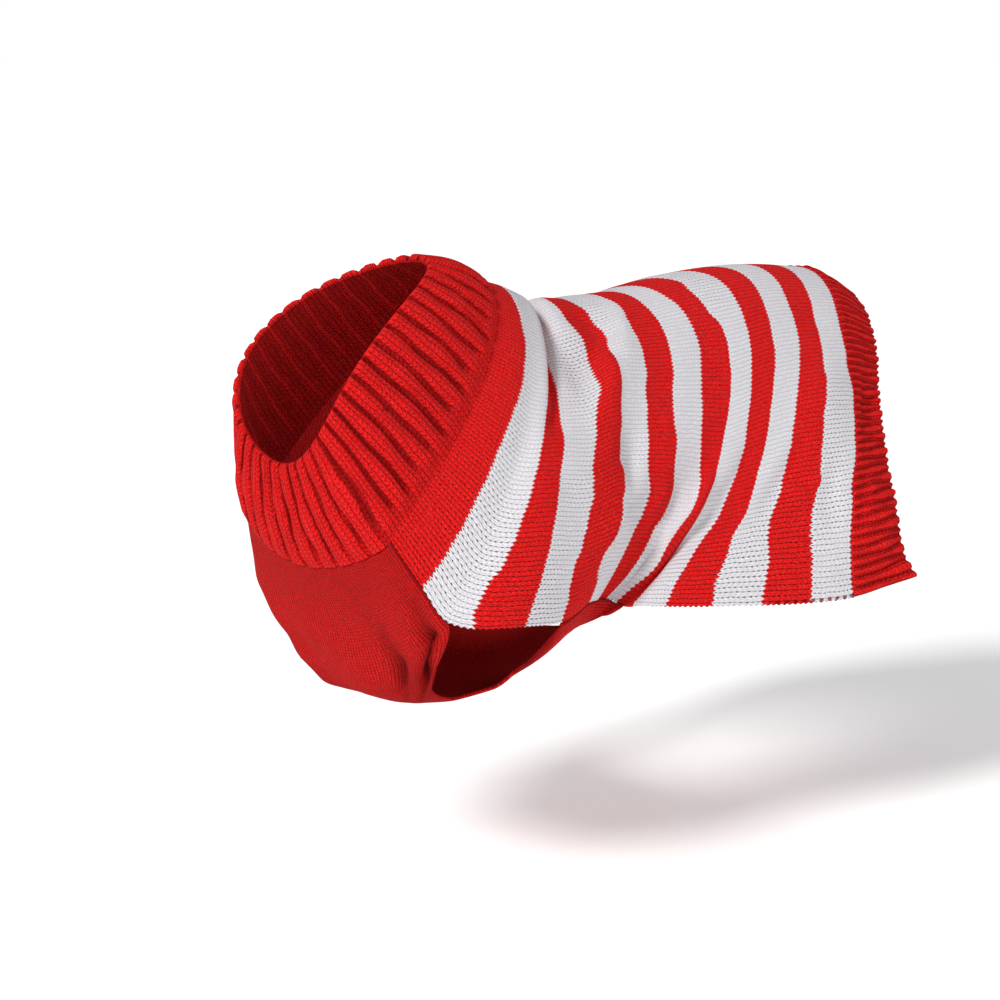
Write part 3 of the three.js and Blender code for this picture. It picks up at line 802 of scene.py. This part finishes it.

# How the knit's height, holes and grooves become painted shade in its colour
knitShade = {
    "usualHeight": 0.8,  # the knit's height that has the usual shade at any contrast
    "usualShade": 0.95,
    "fuzz": (3.0, -1.45),  # a factor and what is added
    "fuzzScale": 3.4,
    "fuzzMost": 0.75,
    "patch": (2.4, -0.5),  # the same, for patches of looser knit
    "slackMost": 1.2,
    # how strongly painted shade shows in the holes, and in the red's holes
    "holeGain": 1.3,
    "redHoles": 0.7,
    # painted shade in the rib grooves outside, and in bands under the ribs' tops inside
    "insideGroove": (-0.8, 0.8),
    "insideShare": 0.6,
    "grooveDark": 0.8,
}

# Stitches along the back piece's edge, beside the ribbed band
edgeStitches = {
    "width": 0.8,  # in wales
    "start": 12.1,  # in stripes
    "each": 0.6,  # stitches to a row of knit
    "share": 0.5,  # of a stitch that is thread
    "dark": 0.85,
}


def node(tree, kind, **values):
    made = tree.nodes.new(kind)
    for name, value in values.items():
        setattr(made, name, value)
    return made


# One math node fed with sockets or numbers.
def calc(tree, operation, *inputs):
    made = node(tree, "ShaderNodeMath", operation=operation)
    for i, value in enumerate(inputs):
        if isinstance(value, (int, float)):
            made.inputs[i].default_value = value
        else:
            tree.links.new(value, made.inputs[i])
    return made.outputs[0]


# Stocking stitch: wales of leaning legs, with a groove between wales and small holes in the groove.
def makeKnitGroup():
    group = bpy.data.node_groups.new("knitStitch", "ShaderNodeTree")
    for name, kind in (("Place", "Vector"), ("Lean", "Float"), ("Rows", "Float")):
        group.interface.new_socket(name=name, in_out="INPUT", socket_type="NodeSocket" + kind)
    for name in ("Height", "Hole", "Row", "Patch"):
        group.interface.new_socket(name=name, in_out="OUTPUT", socket_type="NodeSocketFloat")
    start = node(group, "NodeGroupInput")
    end = node(group, "NodeGroupOutput")
    flat = node(group, "ShaderNodeVectorMath", operation="MULTIPLY")
    flat.inputs[1].default_value = (1, 1, 0)
    group.links.new(start.outputs["Place"], flat.inputs[0])
    wobble = noiseOf(group, flat.outputs[0], stitchForm["wanderScale"], 2, "Color")
    centred = node(group, "ShaderNodeVectorMath", operation="SUBTRACT")
    centred.inputs[1].default_value = (0.5, 0.5, 0.5)
    group.links.new(wobble, centred.inputs[0])
    moved = node(group, "ShaderNodeVectorMath", operation="MULTIPLY_ADD")
    moved.inputs[1].default_value = stitchForm["wander"]
    group.links.new(centred.outputs[0], moved.inputs[0])
    group.links.new(flat.outputs[0], moved.inputs[2])
    parts = node(group, "ShaderNodeSeparateXYZ")
    group.links.new(moved.outputs[0], parts.inputs[0])
    x, y = parts.outputs[0], parts.outputs[1]
    fromMiddle = calc(group, "ABSOLUTE", calc(group, "SUBTRACT", calc(group, "FRACT", x), 0.5))
    leaned = calc(group, "MULTIPLY_ADD", fromMiddle, start.outputs["Lean"], y)
    rowShare = calc(group, "FRACT", leaned)
    rowIndex = calc(group, "MAXIMUM", calc(group, "FLOOR", leaned), 0)
    stitch = node(group, "ShaderNodeCombineXYZ")
    group.links.new(calc(group, "FLOOR", calc(group, "MULTIPLY", x, 2)), stitch.inputs[0])
    group.links.new(rowIndex, stitch.inputs[1])
    chance = node(group, "ShaderNodeTexWhiteNoise", noise_dimensions="2D")
    group.links.new(stitch.outputs[0], chance.inputs["Vector"])
    wale = calc(group, "COSINE", calc(group, "MULTIPLY", fromMiddle, math.pi))
    wale = calc(group, "POWER", wale, stitchForm["walePower"])
    narrow, deep = stitchForm["crease"]
    crease = calc(group, "EXPONENT", calc(group, "MULTIPLY", calc(group, "POWER", fromMiddle, 2), narrow))
    wale = calc(group, "MULTIPLY_ADD", crease, deep, wale)
    rowBump = calc(group, "SINE", calc(group, "MULTIPLY", rowShare, math.pi))
    rowBump = calc(group, "POWER", calc(group, "MAXIMUM", rowBump, 0.001), stitchForm["rowPower"])
    rowDip = calc(group, "MULTIPLY", start.outputs["Rows"], calc(group, "SUBTRACT", 1, rowBump))
    height = calc(group, "MULTIPLY", wale, calc(group, "SUBTRACT", 1, rowDip))
    unlike = calc(group, "MULTIPLY_ADD", chance.outputs["Value"], *stitchForm["unlike"])
    height = calc(group, "MULTIPLY", height, unlike)
    fibre = noiseOf(group, flat.outputs[0], stitchForm["fibreScale"], 4, "Fac")
    height = calc(group, "ADD", height, calc(group, "MULTIPLY_ADD", fibre, *stitchForm["fibre"]))
    every = calc(group, "FRACT", calc(group, "MULTIPLY", calc(group, "ROUND", x), 0.5))
    holeShare = calc(group, "FRACT", calc(group, "ADD", leaned, every))
    holeWidth, holeHeight = stitchForm["holeSize"]
    holeX = calc(group, "DIVIDE", calc(group, "SUBTRACT", 0.5, fromMiddle), holeWidth)
    holeY = calc(group, "DIVIDE", calc(group, "SUBTRACT", holeShare, 0.5), holeHeight)
    holeX, holeY = (calc(group, "MULTIPLY", value, value) for value in (holeX, holeY))
    hole = calc(group, "SUBTRACT", 1, calc(group, "MINIMUM", calc(group, "ADD", holeX, holeY), 1))
    unlike = calc(group, "MULTIPLY_ADD", chance.outputs["Value"], *stitchForm["holeUnlike"])
    hole = calc(group, "MULTIPLY", hole, unlike)
    patch = noiseOf(group, flat.outputs[0], stitchForm["patchScale"], 2, "Fac")
    group.links.new(height, end.inputs["Height"])
    group.links.new(hole, end.inputs["Hole"])
    group.links.new(rowIndex, end.inputs["Row"])
    group.links.new(patch, end.inputs["Patch"])
    return group


def noiseOf(tree, vector, scale, detail, output):
    made = node(tree, "ShaderNodeTexNoise")
    made.inputs["Scale"].default_value = scale
    made.inputs["Detail"].default_value = detail
    tree.links.new(vector, made.inputs["Vector"])
    return made.outputs[output]


knitGroup = makeKnitGroup()


def mixColor(tree, factor, first, second):
    made = node(tree, "ShaderNodeMix", data_type="RGBA")
    for socket, value in ((made.inputs[0], factor), (made.inputs[6], first), (made.inputs[7], second)):
        if isinstance(value, (int, float, tuple)):
            socket.default_value = value
        else:
            tree.links.new(value, socket)
    return made.outputs[2]


# A knit material. Striped cloth takes its colour from the knit row, so that its borders step
# with the stitches.
def makeKnit(name, look):
    material = bpy.data.materials.new(name)
    material.use_nodes = True
    tree = material.node_tree
    shader = tree.nodes["Principled BSDF"]
    place = node(tree, "ShaderNodeAttribute", attribute_name="knitPlace")
    inside = node(tree, "ShaderNodeAttribute", attribute_name="wrongSide").outputs["Fac"]
    parts = node(tree, "ShaderNodeSeparateXYZ")
    tree.links.new(place.outputs["Vector"], parts.inputs[0])
    knit = node(tree, "ShaderNodeGroup", node_tree=knitGroup)
    tree.links.new(place.outputs["Vector"], knit.inputs["Place"])
    knit.inputs["Lean"].default_value = look["lean"]
    knit.inputs["Rows"].default_value = look["rows"]
    # Painted shade: low stitches and the grooves between them are darker, and high ones lighter.
    lowest = knitShade["usualShade"] - knitShade["usualHeight"] * look["contrast"]
    shade = calc(tree, "MULTIPLY_ADD", knit.outputs["Height"], look["contrast"], lowest)
    shade = calc(tree, "MINIMUM", calc(tree, "MAXIMUM", shade, 0), 1)
    redColor = mixColor(tree, shade, yarn["redShadeAndThread"], yarn["red"])
    fuzz = noiseOf(tree, place.outputs["Vector"], knitShade["fuzzScale"], 3, "Fac")
    fuzz = calc(tree, "MULTIPLY_ADD", fuzz, *knitShade["fuzz"])
    fuzz = calc(tree, "MINIMUM", calc(tree, "MAXIMUM", fuzz, 0), knitShade["fuzzMost"])
    redColor = mixColor(tree, fuzz, redColor, yarn["redFuzz"])
    color = redColor
    if look["striped"]:
        middleRow = calc(tree, "ADD", knit.outputs["Row"], 0.5)
        stripe = calc(tree, "FLOOR", calc(tree, "DIVIDE", middleRow, cloth["rowsPerStripe"]))
        odd = calc(tree, "GREATER_THAN", calc(tree, "FRACT", calc(tree, "MULTIPLY", stripe, 0.5)), 0.25)
        whiteColor = mixColor(tree, shade, yarn["whitePaintedShade"], yarn["white"])
        patch = calc(tree, "MULTIPLY_ADD", knit.outputs["Patch"], *knitShade["patch"])
        slack = calc(tree, "MULTIPLY", parts.outputs[2], patch)
        slack = calc(tree, "MINIMUM", calc(tree, "MAXIMUM", slack, 0), knitShade["slackMost"])
        # Painted shade seen through the knit's holes, more where the knit is open.
        hole = calc(tree, "MULTIPLY", knit.outputs["Hole"], slack)
        hole = calc(tree, "MINIMUM", calc(tree, "MULTIPLY", hole, knitShade["holeGain"]), 1)
        whiteColor = mixColor(tree, hole, whiteColor, yarn["hole"])
        redPaintedShade = calc(tree, "MULTIPLY", hole, knitShade["redHoles"])
        redColor = mixColor(tree, redPaintedShade, redColor, yarn["redPaintedShade"])
        color = mixColor(tree, odd, redColor, whiteColor)
        color = overlock(tree, parts, color)
    # Painted shade: the grooves are darkened outside, and on the inside so are the bands under the ribs'
    # tops, where the inside's own grooves lie.
    if look["ribbed"]:
        groove = parts.outputs[2]
        outsideDark = calc(tree, "MULTIPLY", groove, calc(tree, "SUBTRACT", 1, inside))
        insideDark = calc(tree, "MULTIPLY_ADD", groove, *knitShade["insideGroove"])
        insideShare = calc(tree, "MULTIPLY", inside, knitShade["insideShare"])
        insideDark = calc(tree, "MULTIPLY", insideDark, insideShare)
        dark = calc(tree, "ADD", outsideDark, insideDark)
        dark = calc(tree, "MULTIPLY", dark, knitShade["grooveDark"])
        color = mixColor(tree, dark, color, yarn["redPaintedShade"])
    tree.links.new(color, shader.inputs["Base Color"])
    shader.inputs["Roughness"].default_value = 0.9
    shader.inputs["Sheen Weight"].default_value = 0.03
    shader.inputs["Sheen Roughness"].default_value = 0.4
    shader.inputs["Sheen Tint"].default_value = (1.0, 0.4, 0.35, 1)
    shader.inputs["Specular IOR Level"].default_value = 0.06
    bump = node(tree, "ShaderNodeBump")
    bump.inputs["Strength"].default_value = 1
    bump.inputs["Distance"].default_value = look["depth"] * mm
    tree.links.new(knit.outputs["Height"], bump.inputs["Height"])
    tree.links.new(bump.outputs["Normal"], shader.inputs["Normal"])
    return material


# Red stitches that bind the back piece's edge beside the ribbed band.
def overlock(tree, parts, color):
    wales, rows = parts.outputs[0], parts.outputs[1]
    edgeWale = cloth["halfRound"] / cloth["waleWidth"]
    fromEdge = calc(tree, "SUBTRACT", edgeWale, calc(tree, "ABSOLUTE", wales))
    near = calc(tree, "LESS_THAN", fromEdge, edgeStitches["width"])
    late = calc(tree, "GREATER_THAN", rows, edgeStitches["start"] * cloth["rowsPerStripe"])
    turn = calc(tree, "FRACT", calc(tree, "MULTIPLY", rows, edgeStitches["each"]))
    dash = calc(tree, "LESS_THAN", turn, edgeStitches["share"])
    mask = calc(tree, "MULTIPLY", near, calc(tree, "MULTIPLY", late, dash))
    return mixColor(tree, calc(tree, "MULTIPLY", mask, edgeStitches["dark"]), color, yarn["redShadeAndThread"])


# Contrast sets how strong the knit's painted shade is, and ribbed adds painted shade in grooves and
# hollows.
looks = {
    "stripedKnit": {
        "lean": 1.3,
        "rows": 0.6,
        "contrast": 1.1,
        "depth": 0.8,
        "striped": True,
        "ribbed": False,
    },
    "ribKnit": {
        "lean": 1.2,
        "rows": 0.7,
        "contrast": 1.2,
        "depth": 0.8,
        "striped": False,
        "ribbed": True,
    },
    "chestKnit": {
        "lean": 1.2,
        "rows": 0.6,
        "contrast": 1.65,
        "depth": 1.2,
        "striped": False,
        "ribbed": True,
    },
}
backKnit, ribKnit, chestKnit = (makeKnit(name, look) for name, look in looks.items())

pieces = {
    "back_panel": (makeBackPanel(), backKnit, "striped_knit"),
    "chest_panel": (makeChestPanel(), chestKnit, "chest_knit"),
    "neck_rib": (makeNeckRib(), ribKnit, "collar_rib"),
    "hem_rib": (makeHemRib(), ribKnit, "hem_rib"),
}
for nodeName, (piece, material, slot) in pieces.items():
    piece.data.materials.clear()
    piece.data.materials.append(material)
    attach(piece, "root")
    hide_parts(nodeName)
print("cloth pieces made")


# Floor and lights
studio = {
    "floorZ": -295,
    "floorSize": 60,  # metres, so that its end lies past what any view shows
    "floorColor": (0.96, 0.955, 0.945, 1),
    "floorGlow": 0.27,
    "seenWorld": 1.0,  # how bright the world looks
    "worldLight": 0.34,  # how bright it lights
    "lights": {  # azimuth and elevation in degrees, strength, and angle across in degrees
        "keyLight": (10, 38, 2.55, 14),
        "fillLight": (95, 12, 0.6, 50),
    },
}


def addFloor():
    bpy.ops.object.select_all(action="DESELECT")
    bpy.ops.mesh.primitive_plane_add(size=studio["floorSize"], location=(0, 0, studio["floorZ"] * mm))
    floor = bpy.context.object
    floor.name = "paleFloor"
    material = bpy.data.materials.new("paleFloor")
    material.use_nodes = True
    shader = material.node_tree.nodes["Principled BSDF"]
    shader.inputs["Base Color"].default_value = studio["floorColor"]
    shader.inputs["Roughness"].default_value = 0.95
    shader.inputs["Specular IOR Level"].default_value = 0.1
    shader.inputs["Emission Color"].default_value = (1, 1, 1, 1)
    shader.inputs["Emission Strength"].default_value = studio["floorGlow"]
    floor.data.materials.append(material)


def addLight(name, azimuth, elevation, strength, angle):
    _, _, back = lookDirections({"azimuth": azimuth, "elevation": elevation})
    bpy.ops.object.light_add(type="SUN", location=back * 2)
    light = bpy.context.object
    light.name = name
    light.data.energy = strength
    light.data.angle = math.radians(angle)
    light.rotation_mode = "QUATERNION"
    light.rotation_quaternion = (-back).to_track_quat("-Z", "Y")


# The world looks white behind the floor, and lights the cloth more softly than that.
def addWorld():
    world = bpy.data.worlds.new("studio")
    world.use_nodes = True
    tree = world.node_tree
    seen = tree.nodes["Background"]
    seen.inputs["Strength"].default_value = studio["seenWorld"]
    seen.inputs["Color"].default_value = (1, 1, 1, 1)
    light = node(tree, "ShaderNodeBackground")
    light.inputs["Strength"].default_value = studio["worldLight"]
    light.inputs["Color"].default_value = (0.95, 0.97, 1, 1)
    path = node(tree, "ShaderNodeLightPath")
    mix = node(tree, "ShaderNodeMixShader")
    tree.links.new(path.outputs["Is Camera Ray"], mix.inputs[0])
    tree.links.new(light.outputs[0], mix.inputs[1])
    tree.links.new(seen.outputs[0], mix.inputs[2])
    tree.links.new(mix.outputs[0], tree.nodes["World Output"].inputs["Surface"])
    bpy.context.scene.world = world


addFloor()
for lightName, lightValues in studio["lights"].items():
    addLight(lightName, *lightValues)
addWorld()
bpy.context.scene.view_settings.view_transform = "Standard"
print("studio set")
